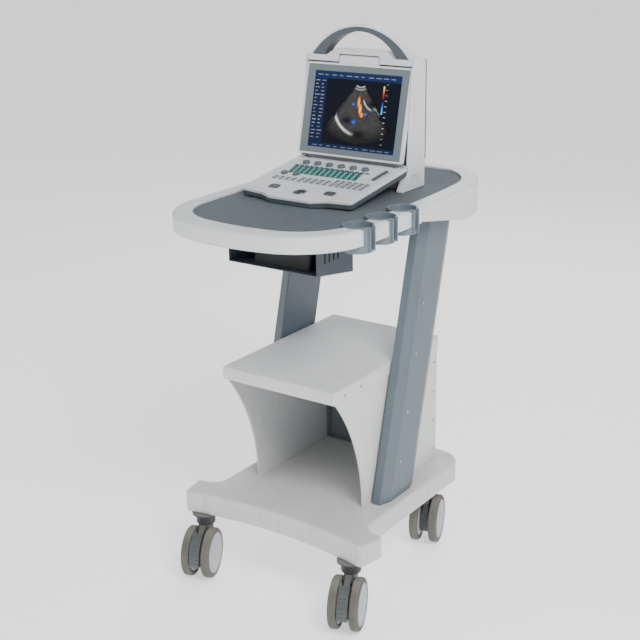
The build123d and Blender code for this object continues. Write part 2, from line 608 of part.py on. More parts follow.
# ---- cap with the latch notch, handle and its grip -------------------------------
with BuildPart() as top_cap:
    with BuildSketch(front_plane(BODY_RIDGE)):
        Polygon((X0 - CAP_HALF, NICHE_TOP), (X0 + CAP_HALF, NICHE_TOP), (X0 + CAP_HALF, BODY_TOP),
                (X0 + CAP_BEVEL, BODY_TOP), (X0 + CAP_RAISED, CAP_TOP), (X0 - CAP_RAISED, CAP_TOP),
                (X0 - CAP_BEVEL, BODY_TOP), (X0 - CAP_HALF, BODY_TOP), align=None)
    extrude(amount=-(CAP_REAR - BODY_RIDGE))
    top_cap_ridges = top_cap.edges().filter_by(Axis.Y).filter_by_position(Axis.Z, BODY_TOP - 1, CAP_TOP + 1)
    fillet([edge for edge in top_cap_ridges if abs(edge.center().X - X0) < CAP_HALF - 5], radius=5)
    scanner_box(59, BODY_RIDGE - 1, 167, NICHE_TOP - 1, 1250, mode=Mode.SUBTRACT)
    fillet(top_cap.faces().sort_by(Axis.Y)[0].edges().filter_by_position(Axis.Z, BODY_TOP - 1, CAP_TOP + 1),
           radius=2)
write(top_cap, "top_cap")

HANDLE_R = arc_radius(HANDLE_FOOT_HALF, HANDLE_RISE)
GRIP_R = arc_radius(GRIP_FOOT_HALF, GRIP_RISE)
HANDLE_SHELL = 4.5
HANDLE_CENTRE = BODY_TOP + HANDLE_RISE - HANDLE_R
GRIP_CENTRE = BODY_TOP + GRIP_RISE - GRIP_R


def arch(outer_r, outer_centre, inner_r, inner_centre, y0, y1):
    """An arch standing on the body's top between two offset circles."""
    with BuildPart() as bow:
        with BuildSketch(front_plane(y0)):
            with Locations((X0, outer_centre)):
                Circle(outer_r)
            with Locations((X0, inner_centre)):
                Circle(inner_r, mode=Mode.SUBTRACT)
            with Locations((X0, BODY_TOP - 500)):
                Rectangle(1000, 1000, mode=Mode.SUBTRACT)
        extrude(amount=-(y1 - y0))
    return bow


handle = arch(HANDLE_R, HANDLE_CENTRE, HANDLE_R - HANDLE_SHELL, HANDLE_CENTRE, HANDLE_FRONT, HANDLE_REAR)
write(handle, "handle")
grip = arch(HANDLE_R - HANDLE_SHELL, HANDLE_CENTRE, GRIP_R, GRIP_CENTRE, HANDLE_FRONT + 0.8, HANDLE_REAR - 0.8)
write(grip, "handle_grip")

# ==== screen ======================================================================
def screen_sheet(half, low, high, near, far, corner):
    """A rounded plate of the screen between two depths behind its front face."""
    with BuildPart() as sheet:
        with BuildSketch(screen_plane.offset(-far)):
            with Locations((0, (low + high) / 2)):
                RectangleRounded(2 * half, high - low, corner)
        extrude(amount=far - near)
    return sheet.part


with BuildPart() as screen_hinge_shaft:
    with Locations(Location((X0, SHAFT_Y, SHAFT_Z), (0, 90, 0))):
        Cylinder(SHAFT_R, 2 * 154.8)
write(screen_hinge_shaft, "screen_hinge_shaft")

shaft_bore = Location((X0, SHAFT_Y, SHAFT_Z), (0, 90, 0))
with BuildPart() as screen_frame:
    add(screen_sheet(SCREEN_HALF, 0, SCREEN_H, 0, 12, 6))
    fillet(screen_frame.faces().sort_by(Axis((0, 0, 0), screen_plane.z_dir))[-1].edges(), radius=1.5)
    add(screen_sheet(57, SCREEN_H - 8, SCREEN_H + 20, 0.5, 4.5, 2))
    add(screen_sheet(SCREEN_HALF - 5.2, 5.2, SCREEN_H - 5.2, -1, 13, 3), mode=Mode.SUBTRACT)
    with Locations(shaft_bore):
        Cylinder(SHAFT_R + RUN, 400, mode=Mode.SUBTRACT)
write(screen_frame, "screen_frame")

with BuildPart() as screen_bezel:
    add(screen_sheet(SCREEN_HALF - 5.4, 5.4, SCREEN_H - 5.4, 0.9, 3, 2.8))
    with BuildSketch(screen_plane.offset(-3)):
        with Locations((0, (LCD_LOW + LCD_HIGH) / 2)):
            Rectangle(2 * LCD_HALF, LCD_HIGH - LCD_LOW)
    extrude(amount=4, taper=-30, mode=Mode.SUBTRACT)
write(screen_bezel, "screen_bezel")

with BuildPart() as lcd_panel:
    add(screen_sheet(LCD_HALF + 3, LCD_LOW - 3, LCD_HIGH + 3, 3, 6.5, 1))
write(lcd_panel, "lcd_panel")

with BuildPart() as screen_back:
    add(screen_sheet(SCREEN_HALF - 0.4, 0.4, SCREEN_H - 0.4, 12, SCREEN_T, 6))
    fillet(screen_back.faces().sort_by(Axis((0, 0, 0), screen_plane.z_dir))[0].edges(), radius=4)
    add(screen_sheet(SCREEN_HALF - 5, 5, SCREEN_H - 3, 11, SCREEN_T - 2, 3), mode=Mode.SUBTRACT)
    with Locations(shaft_bore):
        Cylinder(SHAFT_R + 0.6, 400, mode=Mode.SUBTRACT)
write(screen_back, "screen_back")

# ==== keyboard ====================================================================
tilt = radians(KEY_SLOPE)
key_plane = Plane(origin=(X0, HINGE_Y, HINGE_Z), x_dir=(1, 0, 0), z_dir=(0, -sin(tilt), cos(tilt)))
key_side = Plane(origin=(X0 - 200, HINGE_Y, HINGE_Z), x_dir=(0, cos(tilt), sin(tilt)), z_dir=(1, 0, 0))
KB_CORNER, KB_FRONT, KB_REAR = -229.0, -253.5, KNUCKLE_R
DECK_TOP, DECK_LOW = 6.7, 3.7
BALL_AT, BALL_R, BALL_H = (3.0, -211.0), 11.0, 1.2
BUTTON_ATS = {"left": (-79.0, -199.0), "right": (79.0, -199.0)}
KNOB_ATS = {"gain": (-113.0, -112.0), "depth": (-78.0, -112.0)}
PADDLE_ROW, PADDLE_PITCH, PADDLE_V = 6, 34.6, -31.0
SLIDER_COUNT, SLIDER_PITCH, SLIDER_AT = 8, 8.4, (125.0, -56.0)
LETTER_AT, LETTER_PITCH, LETTER_ROWS, LETTER_COLS = (-17.0, -79.0), (15.4, 12.6), 4, 13
LETTER_SIZE = (12.2, 8.6)
FUNCTION_ATS = [(-118 + 14.6 * col, -50.5) for col in range(15)]
FUNCTION_ATS += [(x, -118 - 11 * row) for row in range(4) for x in (48, 64.5, 81, 97.5, 114, 130.5)]
FUNCTION_ATS += [(x, -136 - 11 * row) for row in range(2) for x in (-118, -100, -82, -64)]
FUNCTION_ATS += [(x, -127 - 11 * row) for row in range(3) for x in (-44, -26, -8, 10, 28)]
FUNCTION_SIZE = (12.0, 6.0)
KEY_GAP = 0.5


def keyboard_outline(inset):
    """The keyboard's top view: bowed front edge with rounded corners, straight sides and rear."""
    half = KB_HALF - inset
    with BuildSketch(key_plane) as outline:
        with BuildLine():
            Line((0, KB_FRONT + inset), (58, KB_FRONT + inset))
            Line((58, KB_FRONT + inset), (92, KB_CORNER - 8 + inset))
            Line((92, KB_CORNER - 8 + inset), (half, KB_CORNER + inset))
            Line((half, KB_CORNER + inset), (half, KB_REAR + 1 - inset))
            Line((half, KB_REAR + 1 - inset), (0, KB_REAR + 1 - inset))
            mirror(about=Plane.YZ)
        make_face()
        fillet(outline.vertices().filter_by_position(Axis.Y, KB_FRONT - 5, KB_CORNER + 8), radius=11)
    return outline.sketch


def keyboard_slab(low, high, inset):
    """A slice of the keyboard between two heights above its hinge axis, with the rounded rear knuckle."""
    outline = keyboard_outline(inset)
    with BuildPart() as slab:
        extrude(outline.moved(Location(key_plane.z_dir * low)), amount=high - low)
        with BuildSketch(key_side):
            with Locations((-200, 0)):
                Rectangle(400, 60)
            Circle(KNUCKLE_R - inset)
        extrude(amount=400, mode=Mode.INTERSECT)
    return slab.part


def key_box(x0, x1, v0, v1, low, high, mode=Mode.SUBTRACT):
    """A block in the keyboard's own frame."""
    with Locations(key_plane.location * Location(((x0 + x1) / 2, (v0 + v1) / 2, (low + high) / 2))):
        Box(x1 - x0, v1 - v0, high - low, mode=mode)


def ear_notches():
    """Openings in the knuckle for the body's two hinge ears, and the bores for the pins."""
    for side in (-1, 1):
        near, far = sorted((side * (EAR_X - EAR_T / 2 - 0.8), side * (EAR_X + EAR_T / 2 + 0.8)))
        key_box(near, far, -12, 30, -30, 30)
        with Locations(Location((X0 + side * EAR_X, HINGE_Y, HINGE_Z), (0, 90, 0))):
            Cylinder(3, 36, mode=Mode.SUBTRACT)


def deck_outline(grow):
    """The key field: straight sides and rear, and a front edge that waves round the trackball."""
    with BuildSketch(key_plane.offset(DECK_LOW)) as field:
        with BuildLine():
            Line((0, -20), (142, -20))
            Line((142, -20), (142, -170))
            Line((142, -170), (54, -172))
            TangentArc((0, -158), (54, -172), tangent=(1, 0))
            mirror(about=Plane.YZ)
        make_face()
        fillet(field.vertices(), radius=7)
        if grow:
            offset(amount=grow, mode=Mode.REPLACE)
    return field.sketch


def key_holes(centres, size, gap, low, high):
    """Rectangular holes for a set of keys, as a private solid in the keyboard's frame."""
    with BuildPart() as holes:
        with BuildSketch(key_plane.offset(low)):
            with Locations(*centres):
                Rectangle(size[0] + 2 * gap, size[1] + 2 * gap)
        extrude(amount=high - low)
    return holes.part


LETTER_ATS = [(LETTER_AT[0] + (col - (LETTER_COLS - 1) / 2) * LETTER_PITCH[0] + (row - 1.5) * 3.0,
               LETTER_AT[1] - (row - 1.5) * LETTER_PITCH[1])
              for row in range(LETTER_ROWS) for col in range(LETTER_COLS)]
PADDLE_ATS = [(-18.0 + (index - (PADDLE_ROW - 1) / 2) * PADDLE_PITCH, PADDLE_V) for index in range(PADDLE_ROW)]

with BuildPart() as keyboard_bottom:
    add(keyboard_slab(KB_BOTTOM, 0, 0))
    fillet(keyboard_bottom.faces().sort_by(Axis((0, 0, 0), key_plane.z_dir))[0].edges()
           .filter_by_position(Axis.Y, -200, HINGE_Y - 20), radius=3)
    key_box(-KB_HALF + 3, KB_HALF - 3, KB_CORNER + 4, -14, KB_BOTTOM + KB_SKIN, 1)
    key_box(-55, 55, KB_FRONT + 4, KB_CORNER + 5, KB_BOTTOM + KB_SKIN, 1)
    key_box(-62, 62, KB_FRONT - 1, KB_FRONT + 9, KB_BOTTOM - 1, KB_BOTTOM + 1.6)
    ear_notches()
write(keyboard_bottom, "keyboard_bottom")

with BuildPart() as keyboard_top:
    add(keyboard_slab(0, KB_TOP, 0))
    fillet(keyboard_top.faces().sort_by(Axis((0, 0, 0), key_plane.z_dir))[-1].edges()
           .filter_by_position(Axis.Y, -200, HINGE_Y - 20), radius=2.5)
    key_box(-KB_HALF + 3, KB_HALF - 3, KB_CORNER + 4, -14, -1, KB_TOP - KB_SKIN)
    key_box(-55, 55, KB_FRONT + 4, KB_CORNER + 5, -1, KB_TOP - KB_SKIN)
    add(extrude(deck_outline(0.4), amount=20, mode=Mode.PRIVATE), mode=Mode.SUBTRACT)
    with Locations(key_plane.location * Location((*BALL_AT, 6))):
        Cylinder(17.3, 10, mode=Mode.SUBTRACT)
    for at_x, at_v in BUTTON_ATS.values():
        key_box(at_x - 14, at_x + 14, at_v - 11, at_v + 11, 0, 20)
    for slot_x in (-112, 112):
        key_box(slot_x - 9, slot_x + 9, -224, -221, KB_TOP - 1.2, 20)
    ear_notches()
write(keyboard_top, "keyboard_top")

with BuildPart() as key_deck:
    add(extrude(deck_outline(0), amount=DECK_TOP - DECK_LOW, mode=Mode.PRIVATE))
    add(key_holes(LETTER_ATS, LETTER_SIZE, KEY_GAP, 0, 20), mode=Mode.SUBTRACT)
    add(key_holes(FUNCTION_ATS, FUNCTION_SIZE, KEY_GAP, 0, 20), mode=Mode.SUBTRACT)
    for at_x, at_v in PADDLE_ATS:
        with Locations(key_plane.location * Location((at_x, at_v, 6))):
            Cylinder(9.6, 20, mode=Mode.SUBTRACT)
    for at_x, at_v in KNOB_ATS.values():
        with Locations(key_plane.location * Location((at_x, at_v, 6))):
            Cylinder(4.0, 20, mode=Mode.SUBTRACT)
    for row in range(SLIDER_COUNT):
        at_v = SLIDER_AT[1] + (row - (SLIDER_COUNT - 1) / 2) * SLIDER_PITCH
        key_box(SLIDER_AT[0] - 13, SLIDER_AT[0] + 13, at_v - 1.4, at_v + 1.4, 0, 20)
write(key_deck, "key_deck")

with BuildPart() as keyboard_hinge_pins:
    for side in (-1, 1):
        with Locations(Location((X0 + side * EAR_X, HINGE_Y, HINGE_Z), (0, 90, 0))):
            Cylinder(3, 35)
write(keyboard_hinge_pins, "keyboard_hinge_pins")


def keys(centres, size, low, high, corner):
    """A set of separate key caps standing on the deck."""
    with BuildPart() as caps:
        with BuildSketch(key_plane.offset(low)):
            with Locations(*centres):
                RectangleRounded(*size, corner)
        extrude(amount=high - low)
    return caps


write(keys(LETTER_ATS, LETTER_SIZE, 3.9, 8.9, 1.5), "letter_keys")
write(keys(FUNCTION_ATS, FUNCTION_SIZE, 3.9, 8.5, 2.4), "function_keys")
for button_name, centre in BUTTON_ATS.items():
    write(keys([centre], (27.0, 21.0), 3.0, 10.0, 6.0), f"{button_name}_button")

with BuildPart() as paddle_keys:
    for at_x, at_v in PADDLE_ATS:
        with Locations(key_plane.location * Location((at_x, at_v, 8.7))):
            Cylinder(9.1, 9.6)
write(paddle_keys, "paddle_keys")

for knob_name, (at_x, at_v) in KNOB_ATS.items():
    with BuildPart() as knob:
        with Locations(key_plane.location * Location((at_x, at_v, 9.6))):
            Cylinder(9.0, 5.2)
        with Locations(key_plane.location * Location((at_x, at_v, 5.0))):
            Cylinder(3.6, 6.0)
    write(knob, f"{knob_name}_knob")

with BuildPart() as trackball:
    with Locations(key_plane.location * Location((*BALL_AT, BALL_H))):
        Sphere(BALL_R)
write(trackball, "trackball")

with BuildPart() as trackball_ring:
    with Locations(key_plane.location * Location((*BALL_AT, 6.3))):
        Cylinder(17.0, 4.4)
        Cylinder(11.0, 10, mode=Mode.SUBTRACT)
write(trackball_ring, "trackball_ring")

with BuildPart() as tgc_sliders:
    for row in range(SLIDER_COUNT):
        at_v = SLIDER_AT[1] + (row - (SLIDER_COUNT - 1) / 2) * SLIDER_PITCH
        key_box(SLIDER_AT[0] - 5.0, SLIDER_AT[0] + 5.0, at_v - 3.4, at_v + 3.4, 6.95, 10.6, mode=Mode.ADD)
        key_box(SLIDER_AT[0] - 2.5, SLIDER_AT[0] + 2.5, at_v - 1.0, at_v + 1.0, 3.0, 7.5, mode=Mode.ADD)
write(tgc_sliders, "tgc_sliders")

# ==== screws that show ============================================================
SCREW_R, SCREW_HEAD = 4.0, 1.8


def screw(at, direction):
    """A pan-head screw whose head stands on a panel; direction points out of the panel."""
    with Locations(Plane(origin=at, z_dir=direction).location):
        with Locations((0, 0, SCREW_HEAD / 2)):
            Cylinder(SCREW_R, SCREW_HEAD)


with BuildPart() as panel_screws:
    for side in (-1, 1):
        for screw_y in (-205, -138):
            screw((side * CAB_HALF, screw_y, 530), (side, 0, 0))
        for screw_z in (240, 320, 400, 480):
            screw((side * SIDE_OUT, 208, screw_z), (side, 0, 0))
        for screw_z in (300, 420, 560, 680):
            run = (screw_z - BASE_TOP) * COLUMN_LEAN
            screw((side * 199, -40 + run, screw_z), (side, 0, 0))
write(panel_screws, "panel_screws")
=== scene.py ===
from math import cos, pi, radians, sin

import bpy
import numpy as np
from mathutils import Matrix, Vector


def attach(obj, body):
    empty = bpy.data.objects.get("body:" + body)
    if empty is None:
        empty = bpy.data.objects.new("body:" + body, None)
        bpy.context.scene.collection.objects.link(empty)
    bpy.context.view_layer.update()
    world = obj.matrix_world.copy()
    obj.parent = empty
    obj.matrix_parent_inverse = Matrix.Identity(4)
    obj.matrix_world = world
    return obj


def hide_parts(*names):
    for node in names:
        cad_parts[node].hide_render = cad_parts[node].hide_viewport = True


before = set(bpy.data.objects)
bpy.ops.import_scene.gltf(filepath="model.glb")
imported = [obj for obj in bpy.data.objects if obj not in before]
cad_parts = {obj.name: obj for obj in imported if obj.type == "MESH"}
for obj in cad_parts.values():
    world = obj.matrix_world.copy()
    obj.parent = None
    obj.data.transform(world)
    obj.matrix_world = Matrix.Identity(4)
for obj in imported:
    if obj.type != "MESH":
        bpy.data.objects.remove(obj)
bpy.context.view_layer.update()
MM = 0.001

# ---- frames of the scanner, in metres --------------------------------------------
X0 = -25 * MM
KEY_SLOPE, SCREEN_TILT = radians(8.2), radians(13.1)
KEY_ORIGIN = Vector((X0, 99 * MM, 988 * MM))
SCREEN_ORIGIN = Vector((X0, 94.1 * MM, 1008 * MM))


def frame_matrix(origin, x_axis, y_axis):
    """A matrix whose columns are the given X and Y axes and their cross product."""
    z_axis = x_axis.cross(y_axis)
    matrix = Matrix((x_axis, y_axis, z_axis)).transposed().to_4x4()
    matrix.translation = origin
    return matrix


KEY_FRAME = frame_matrix(KEY_ORIGIN, Vector((1, 0, 0)), Vector((0, cos(KEY_SLOPE), sin(KEY_SLOPE))))
SCREEN_FRAME = frame_matrix(SCREEN_ORIGIN, Vector((1, 0, 0)), Vector((0, sin(SCREEN_TILT), cos(SCREEN_TILT))))


# ---- materials -------------------------------------------------------------------
def node(tree, kind, **inputs):
    """Adds a shader node and sets or links its inputs by name."""
    made = tree.nodes.new(kind)
    for key, value in inputs.items():
        socket = made.inputs[key.replace("_", " ")]
        if isinstance(value, bpy.types.NodeSocket):
            tree.links.new(value, socket)
        else:
            socket.default_value = value
    return made


def linear(rgb):
    """sRGB values of 0 to 255 as linear colour with alpha."""
    channel = [c / 255 for c in rgb]
    return [c / 12.92 if c <= 0.04045 else ((c + 0.055) / 1.055) ** 2.4 for c in channel] + [1.0]


def mixed(tree, factor, a, b, blend="MIX"):
    """A colour mix of two colours or sockets."""
    mix = tree.nodes.new("ShaderNodeMix")
    mix.data_type = "RGBA"
    mix.blend_type = blend
    for index, value in ((0, factor), (6, a), (7, b)):
        if isinstance(value, bpy.types.NodeSocket):
            tree.links.new(value, mix.inputs[index])
        else:
            mix.inputs[index].default_value = value
    return mix.outputs[2]


def ramp(tree, source, low, high):
    """Maps a value onto 0..1 between two limits, clamped."""
    made = node(tree, "ShaderNodeMapRange", Value=source)
    made.inputs["From Min"].default_value = low
    made.inputs["From Max"].default_value = high
    return made.outputs["Result"]


def surface(name, rgb, rough=0.45, grain=1800, bump=0.05, mottle=0.06, edge=1.2, edge_highlight=0.25, metallic=0.0,
            coat=0.0, dust=0.0, spec=0.5):
    """Moulded or painted finish: mottled colour, fine grain, softened edges, and a painted highlight: convex
    corners get a lighter copy of the colour.
    """
    material = bpy.data.materials.new(name)
    material.use_nodes = True
    tree = material.node_tree
    shader = tree.nodes["Principled BSDF"]
    place = tree.nodes.new("ShaderNodeTexCoord").outputs["Object"]
    colour = linear(rgb)
    cloud = node(tree, "ShaderNodeTexNoise", Vector=place, Scale=14.0, Detail=6.0, Roughness=0.62)
    fine = node(tree, "ShaderNodeTexNoise", Vector=place, Scale=float(grain), Detail=3.0, Roughness=0.6)
    streak_place = node(tree, "ShaderNodeMapping", Vector=place)
    streak_place.inputs["Scale"].default_value = (9.0, 9.0, 1.6)
    streak = node(tree, "ShaderNodeTexNoise", Vector=streak_place.outputs[0], Scale=5.0, Detail=8.0)
    dark = [c * (1 - mottle) for c in colour[:3]] + [1.0]
    light = [min(c * (1 + mottle * 0.6), 1.0) for c in colour[:3]] + [1.0]
    base = mixed(tree, ramp(tree, cloud.outputs["Fac"], 0.3, 0.7), dark, light)
    soil = [c * 0.80 * t for c, t in zip(colour[:3], (1.0, 0.985, 0.95))] + [1.0]
    base = mixed(tree, ramp(tree, streak.outputs["Fac"], 0.56, 0.86), base, soil)
    geometry = tree.nodes.new("ShaderNodeNewGeometry")
    # painted highlight: where pointiness marks a convex edge, the colour is mixed towards a lighter copy of
    # itself, standing in for light catching the rounded edges
    corner = ramp(tree, geometry.outputs["Pointiness"], 0.515, 0.56)
    rim = [min(c * 1.18 + 0.02, 1.0) for c in colour[:3]] + [1.0]
    scaled = node(tree, "ShaderNodeMath")
    scaled.operation = "MULTIPLY"
    tree.links.new(corner, scaled.inputs[0])
    scaled.inputs[1].default_value = edge_highlight
    base = mixed(tree, scaled.outputs[0], base, rim)
    if dust:
        up = tree.nodes.new("ShaderNodeSeparateXYZ")
        tree.links.new(geometry.outputs["Normal"], up.inputs[0])
        lying = node(tree, "ShaderNodeMath")
        lying.operation = "MULTIPLY"
        tree.links.new(ramp(tree, up.outputs["Z"], 0.7, 1.0), lying.inputs[0])
        lying.inputs[1].default_value = dust
        base = mixed(tree, lying.outputs[0], base, linear((196, 190, 178)))
    tree.links.new(base, shader.inputs["Base Color"])
    spread = node(tree, "ShaderNodeMapRange", Value=cloud.outputs["Fac"])
    spread.inputs["To Min"].default_value = max(rough - 0.07, 0.03)
    spread.inputs["To Max"].default_value = min(rough + 0.09, 1.0)
    tree.links.new(spread.outputs[0], shader.inputs["Roughness"])
    soft = node(tree, "ShaderNodeBevel", Radius=edge * MM)
    soft.samples = 4
    bumped = node(tree, "ShaderNodeBump", Height=fine.outputs["Fac"], Strength=bump, Distance=0.0004,
                  Normal=soft.outputs[0])
    tree.links.new(bumped.outputs[0], shader.inputs["Normal"])
    shader.inputs["Metallic"].default_value = metallic
    shader.inputs["Coat Weight"].default_value = coat
    shader.inputs["Specular IOR Level"].default_value = spec
    return material


WHITE = surface("white_plastic", (206, 207, 210), rough=0.42, edge=2.0, mottle=0.03, bump=0.04)
BASE_WHITE = surface("base_plastic", (200, 200, 200), rough=0.48, edge=3.0, mottle=0.05, dust=0.15)
RIM_WHITE = surface("rim_plastic", (207, 209, 211), rough=0.4, edge=5.0, mottle=0.03)
CABINET = surface("cabinet_paint", (204, 205, 206), rough=0.5, edge=1.2, mottle=0.04, bump=0.12, grain=900)
COLUMN = surface("column_paint", (86, 98, 106), rough=0.42, edge=1.5, bump=0.14, grain=1100, mottle=0.05)
SHEET = surface("sheet_paint", (132, 140, 147), rough=0.45, edge=0.8, bump=0.12, grain=1100)
MAT = surface("mat_rubber", (84, 92, 98), rough=0.78, edge=1.0, bump=0.5, grain=1400, mottle=0.07, spec=0.3)
CUP = surface("cup_plastic", (102, 114, 123), rough=0.4, edge=0.8, bump=0.05)
# the tray's edges get a stronger painted highlight
TRAY = surface("tray_paint", (44, 54, 66), rough=0.5, edge=0.8, bump=0.12, edge_highlight=0.5)
BLACK = surface("black_plastic", (26, 27, 30), rough=0.55, edge=1.0, bump=0.25, grain=1300)
STEEL = surface("zinc_steel", (176, 178, 180), rough=0.3, metallic=0.9, edge=0.4, bump=0.08, mottle=0.1)
YOKE = surface("yoke_plastic", (54, 58, 60), rough=0.52, edge=1.4, bump=0.2, grain=1300, dust=0.2)
DISC = surface("disc_plastic", (168, 168, 176), rough=0.45, edge=0.8, bump=0.12, mottle=0.08)
TYRE = surface("tyre_rubber", (96, 93, 87), rough=0.82, edge=1.0, bump=0.45, grain=900, mottle=0.18, dust=0.2)
PEDAL = surface("pedal_plastic", (72, 77, 79), rough=0.5, edge=0.8, bump=0.15)
SLATE = surface("slate_plastic", (62, 72, 78), rough=0.5, edge=1.2, bump=0.2, grain=1500)
BEZEL = surface("bezel_plastic", (92, 104, 109), rough=0.45, edge=0.8, bump=0.15)
DECK = surface("deck_plastic", (203, 207, 209), rough=0.5, edge=0.6, bump=0.12)
TEAL = surface("teal_keys", (8, 98, 96), rough=0.38, edge=0.4, bump=0.12, mottle=0.05)
KEY_GREY = surface("grey_keys", (98, 110, 116), rough=0.42, edge=0.4, bump=0.1)
KEY_DARK = surface("dark_keys", (66, 78, 84), rough=0.42, edge=0.4, bump=0.1)
KNOB = surface("knob_plastic", (80, 92, 98), rough=0.35, edge=0.5, bump=0.06)
BALL = surface("ball_gloss", (22, 38, 44), rough=0.12, edge=0.3, bump=0.0, coat=0.6)
BOARD = surface("board_mask", (18, 84, 48), rough=0.35, edge=0.2, bump=0.3)
RUBBER = surface("foot_rubber", (30, 30, 31), rough=0.8, edge=0.6, bump=0.4)

NODE_MATERIALS = {
    "base_slab": BASE_WHITE, "column_left": COLUMN, "column_right": COLUMN, "cabinet_top": CABINET,
    "cabinet_side_left": CABINET, "cabinet_side_right": CABINET, "cabinet_back": SHEET, "table_rim": RIM_WHITE,
    "table_mat": MAT, "table_subframe": SHEET, "power_tray": TRAY, "power_adapter": BLACK,
    "probe_cup_front": CUP, "probe_cup_middle": CUP, "probe_cup_rear": CUP, "caster_stems": YOKE,
    "scanner_body": WHITE, "scanner_rear_cover": SLATE, "handle": WHITE, "handle_grip": SLATE, "top_cap": WHITE,
    "scanner_feet": RUBBER, "battery_pack": SLATE, "main_board": BOARD, "probe_ports": BLACK,
    "power_inlet": BLACK, "screen_hinge_shaft": STEEL, "screen_frame": WHITE, "screen_bezel": BEZEL,
    "lcd_panel": BLACK, "screen_back": SLATE, "keyboard_bottom": SLATE, "keyboard_top": WHITE,
    "key_deck": DECK, "keyboard_hinge_pins": STEEL, "panel_screws": STEEL, "letter_keys": TEAL,
    "function_keys": KEY_GREY, "paddle_keys": KNOB, "left_button": SLATE, "right_button": SLATE,
    "trackball": BALL, "trackball_ring": WHITE, "tgc_sliders": KEY_DARK, "gain_knob": KNOB, "depth_knob": KNOB,
}
for name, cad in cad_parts.items():
    if name in NODE_MATERIALS:
        chosen = NODE_MATERIALS[name]
    elif "wheel" in name:
        chosen = DISC
    elif "pedal" in name:
        chosen = PEDAL
    else:
        chosen = YOKE
    cad.data.materials.clear()
    cad.data.materials.append(chosen)


# ---- mesh building ---------------------------------------------------------------
class Shape:
    """Collects rings and faces of one piece, in millimetres of a local frame."""

    def __init__(self):
        self.verts = []
        self.faces = []
        self.slots = []

    def stack(self, rings, slot=0, close_first=True, close_last=True, loop=True):
        """Skins a list of equal rings of points, with optional caps."""
        size = len(rings[0])
        start = len(self.verts)
        for ring in rings:
            self.verts.extend(ring)
        steps = size if loop else size - 1
        for level in range(len(rings) - 1):
            low = start + level * size
            for i in range(steps):
                j = (i + 1) % size
                self.faces.append((low + i, low + j, low + size + j, low + size + i))
                self.slots.append(slot)
        if close_first:
            self.faces.append(tuple(start + i for i in reversed(range(size))))
            self.slots.append(slot)
        if close_last:
            last = start + (len(rings) - 1) * size
            self.faces.append(tuple(last + i for i in range(size)))
            self.slots.append(slot)

    def block(self, x, y, z, slot=0):
        """A box between limits given as pairs."""
        rings = [[(x[0], y[0], h), (x[1], y[0], h), (x[1], y[1], h), (x[0], y[1], h)] for h in z]
        self.stack(rings, slot)

    def build(self, name, matrix, materials, body, replaced=(), slot=None, bevel=0.0, smooth=35):
        """Makes the Blender object in the row frame and lets it ride on its body."""
        mesh = bpy.data.meshes.new(name)
        mesh.from_pydata([tuple(c * MM for c in v) for v in self.verts], [], self.faces)
        for material in materials:
            mesh.materials.append(material)
        mesh.polygons.foreach_set("material_index", self.slots)
        mesh.transform(matrix)
        mesh.polygons.foreach_set("use_smooth", [True] * len(mesh.polygons))
        mesh.set_sharp_from_angle(angle=radians(smooth))
        mesh.update()
        piece = bpy.data.objects.new(name, mesh)
        bpy.context.scene.collection.objects.link(piece)
        if bevel:
            edge = piece.modifiers.new("edge", "BEVEL")
            edge.width = bevel * MM
            edge.segments = 3
            edge.limit_method = "ANGLE"
            edge.angle_limit = radians(40)
            edge.harden_normals = False
        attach(piece, body)
        if replaced:
            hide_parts(*replaced)
        return piece


def circle(r, z, count=48, cx=0.0, cy=0.0, turn=0.0):
    """A ring of points about (cx, cy) at height z."""
    return [(cx + r * cos(turn + 2 * pi * i / count), cy + r * sin(turn + 2 * pi * i / count), z)
            for i in range(count)]


def rounded(w, d, corner, z, cx=0.0, cy=0.0, per=5):
    """A rounded rectangle ring of full size w by d at height z."""
    corner = min(corner, w / 2 - 0.01, d / 2 - 0.01)
    points = []
    for quarter, (sx, sy) in enumerate(((1, 1), (-1, 1), (-1, -1), (1, -1))):
        for i in range(per):
            a = pi / 2 * (quarter + i / (per - 1))
            points.append((cx + sx * (w / 2 - corner) + corner * cos(a),
                           cy + sy * (d / 2 - corner) + corner * sin(a), z))
    return points


def key_cap(shape, cx, cy, w, d, low, high, corner, dish=0.35, slot=0):
    """A key with drafted sides, a rolled upper edge and a dished top."""
    levels = [(0.0, low), (0.35, high - 1.0), (0.6, high - 0.35), (1.1, high - 0.05), (1.6, high)]
    rings = [rounded(w - 2 * inset, d - 2 * inset, max(corner - inset * 0.5, 0.4), z, cx, cy)
             for inset, z in levels]
    rings.append(rounded((w - 3.2) * 0.62, (d - 3.2) * 0.62, corner, high - dish * 0.6, cx, cy))
    rings.append(rounded((w - 3.2) * 0.25, (d - 3.2) * 0.25, corner, high - dish, cx, cy))
    shape.stack(rings, slot)


# ---- keyboard --------------------------------------------------------------------
LETTER_ATS = [(-17.0 + (col - 6) * 15.4 + (row - 1.5) * 3.0, -79.0 - (row - 1.5) * 12.6)
              for row in range(4) for col in range(13)]
letters = Shape()
for at in LETTER_ATS:
    key_cap(letters, *at, 11.4, 7.8, 3.9, 8.9, 1.8)
letters.build("letter_key_caps", KEY_FRAME, [TEAL], "letter_keys", ["letter_keys"], "keys_teal")

FUNCTION_ATS = [(-118 + 14.6 * col, -50.5) for col in range(15)]
FUNCTION_ATS += [(x, -118 - 11 * row) for row in range(4) for x in (48, 64.5, 81, 97.5, 114, 130.5)]
FUNCTION_ATS += [(x, -136 - 11 * row) for row in range(2) for x in (-118, -100, -82, -64)]
FUNCTION_ATS += [(x, -127 - 11 * row) for row in range(3) for x in (-44, -26, -8, 10, 28)]
functions = Shape()
for index, at in enumerate(FUNCTION_ATS):
    key_cap(functions, *at, 12.0, 6.0, 3.9, 8.5, 2.6, dish=0.2, slot=1 if index < 15 else 0)
functions.build("function_key_caps", KEY_FRAME, [KEY_GREY, KEY_DARK], "function_keys",
                ["function_keys"], "keys_grey")

